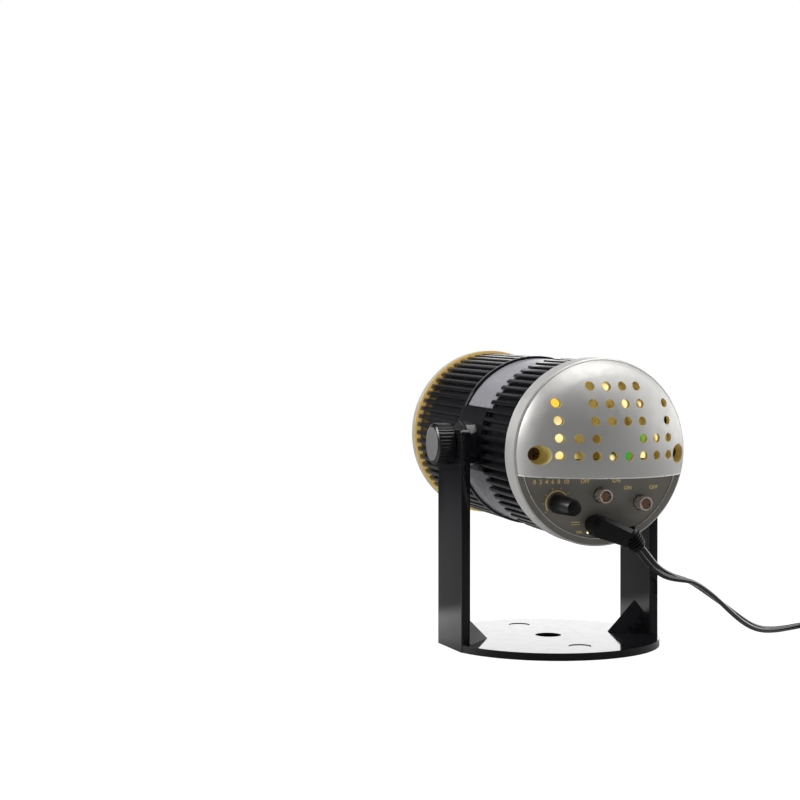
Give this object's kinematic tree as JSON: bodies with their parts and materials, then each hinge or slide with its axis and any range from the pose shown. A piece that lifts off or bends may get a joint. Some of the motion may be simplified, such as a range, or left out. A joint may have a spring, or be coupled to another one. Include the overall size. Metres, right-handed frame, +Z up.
{
  "type": "planetarium projector",
  "caption": "Small star projector: a ribbed lamp head with a vented domed rear cap, tilting in a U-shaped stand on a round foot, with its DC lead and wall adapter.",
  "frame": {"origin": "centre of the foot's hole at its underside, on the surface that the projector stands on", "axes": "+Z up, +X along the tilt pivot to the right as seen from behind the head, +Y the way the light leaves"},
  "size_m": [0.2736, 0.2067, 0.148],
  "materials": {
    "black_gloss": "moulded ABS, high gloss",
    "black_matte": "moulded ABS, fine spark texture",
    "panel_black": "moulded ABS, satin, with plain printed ticks",
    "silver_paint": "silver lacquer over plastic, satin",
    "yellow_plastic": "unpainted translucent moulding",
    "chrome": "bright plated",
    "steel": "zinc plated",
    "brass": "turned and knurled",
    "aluminium": "extruded",
    "clear_glass": "polished",
    "star_film": "dark film with pinholes",
    "white_nylon": "moulded nylon",
    "felt_grey": "fibre friction washer",
    "circuit_green": "glass-epoxy board with solder mask",
    "led_yellow": "diffuse epoxy",
    "cord_black": "flexible PVC, glossy"
  },
  "bodies": {
    "stand": {"stand_bracket": "black_gloss", "dc_cord": "cord_black", "dc_cord_coil": "cord_black", "dc_cord_tail": "cord_black", "adapter_strain_relief": "cord_black", "adapter_case": "black_matte", "adapter_pins": "steel"},
    "head": {"barrel": "black_gloss", "upper_trim_band": "silver_paint", "lower_trim_band": "silver_paint", "friction_washers": "felt_grey", "thread_inserts": "brass", "front_bezel": "silver_paint", "lens_plate": "black_matte", "disc_holder": "black_matte", "motor": "steel", "lamp_tube": "yellow_plastic", "condenser_lens": "clear_glass", "heat_sink": "aluminium", "led_board": "circuit_green", "led_lamp": "led_yellow", "chassis_plate": "yellow_plastic", "lens_plate_screws": "steel", "disc_holder_screws": "steel", "chassis_screws": "steel", "rear_cap": "silver_paint", "control_panel": "panel_black", "cap_screws": "steel", "control_board": "circuit_green", "board_screws": "steel", "speed_potentiometer": "steel", "power_switch": "black_matte", "motor_switch": "black_matte", "dc_jack": "black_matte", "power_lamp": "led_yellow", "dc_plug": "cord_black", "plug_sleeve": "steel", "plug_strain_relief": "cord_black"},
    "left_knob": {"left_clamp_knob": "black_gloss", "left_clamp_stud": "steel"},
    "right_knob": {"right_clamp_knob": "black_gloss", "right_clamp_stud": "steel"},
    "focus": {"focus_ring": "black_gloss"},
    "lens_carrier": {"lens_cell": "black_matte", "objective_lens": "clear_glass", "lens_retainer": "black_matte"},
    "disc": {"star_disc": "star_film", "disc_gear": "white_nylon", "disc_clip": "steel"},
    "pinion": {"motor_pinion": "white_nylon"},
    "speed_control": {"speed_knob": "black_gloss", "speed_shaft": "steel"},
    "power_press": {"power_button": "chrome"},
    "motor_press": {"motor_button": "chrome"}
  },
  "joints": [
    {"name": "head_tilt", "type": "hinge", "parent": "stand", "child": "head", "pos_m": [0, 0, 0.1], "axis": [1, 0, 0], "range_deg": [-45, 80], "deforming": ["dc_cord"]},
    {"name": "left_knob_turn", "type": "hinge", "parent": "head", "child": "left_knob", "pos_m": [-0.0578, 0, 0.1], "axis": [-1, 0, 0], "range_deg": [-20, 360]},
    {"name": "right_knob_turn", "type": "hinge", "parent": "head", "child": "right_knob", "pos_m": [0.0578, 0, 0.1], "axis": [1, 0, 0], "range_deg": [-20, 360]},
    {"name": "focus_turn", "type": "hinge", "parent": "head", "child": "focus", "pos_m": [0, 0.07891, 0.10386], "axis": [0, 0.9988, 0.0489], "range_deg": [-60, 60]},
    {"name": "lens_slide", "type": "slide", "parent": "head", "child": "lens_carrier", "axis": [0, 0.9988, 0.0489], "range_m": [-0.0026, 0.0026]},
    {"name": "star_disc_spin", "type": "hinge", "parent": "head", "child": "disc", "pos_m": [0, 0.04594, 0.10225], "axis": [0, 0.9988, 0.0489], "continuous": true},
    {"name": "motor_pinion_spin", "type": "hinge", "parent": "head", "child": "pinion", "pos_m": [0, 0.04741, 0.07228], "axis": [0, 0.9988, 0.0489], "continuous": true},
    {"name": "speed_knob_turn", "type": "hinge", "parent": "head", "child": "speed_control", "pos_m": [-0.0216, -0.05878, 0.0737], "axis": [0, 0.9988, 0.0489], "range_deg": [0, 270]},
    {"name": "power_button_press", "type": "slide", "parent": "head", "child": "power_press", "axis": [0, 0.9988, 0.0489], "range_m": [0, 0.0025], "stiffness_N_per_m": 800, "springref_m": -0.001},
    {"name": "motor_button_press", "type": "slide", "parent": "head", "child": "motor_press", "axis": [0, 0.9988, 0.0489], "range_m": [0, 0.0025], "stiffness_N_per_m": 800, "springref_m": -0.001}
  ],
  "couplings": [
    {"joint": "lens_slide", "follows": "focus_turn", "m_per_rad": 0.002387},
    {"joint": "motor_pinion_spin", "follows": "star_disc_spin", "ratio": -6.5}
  ]
}
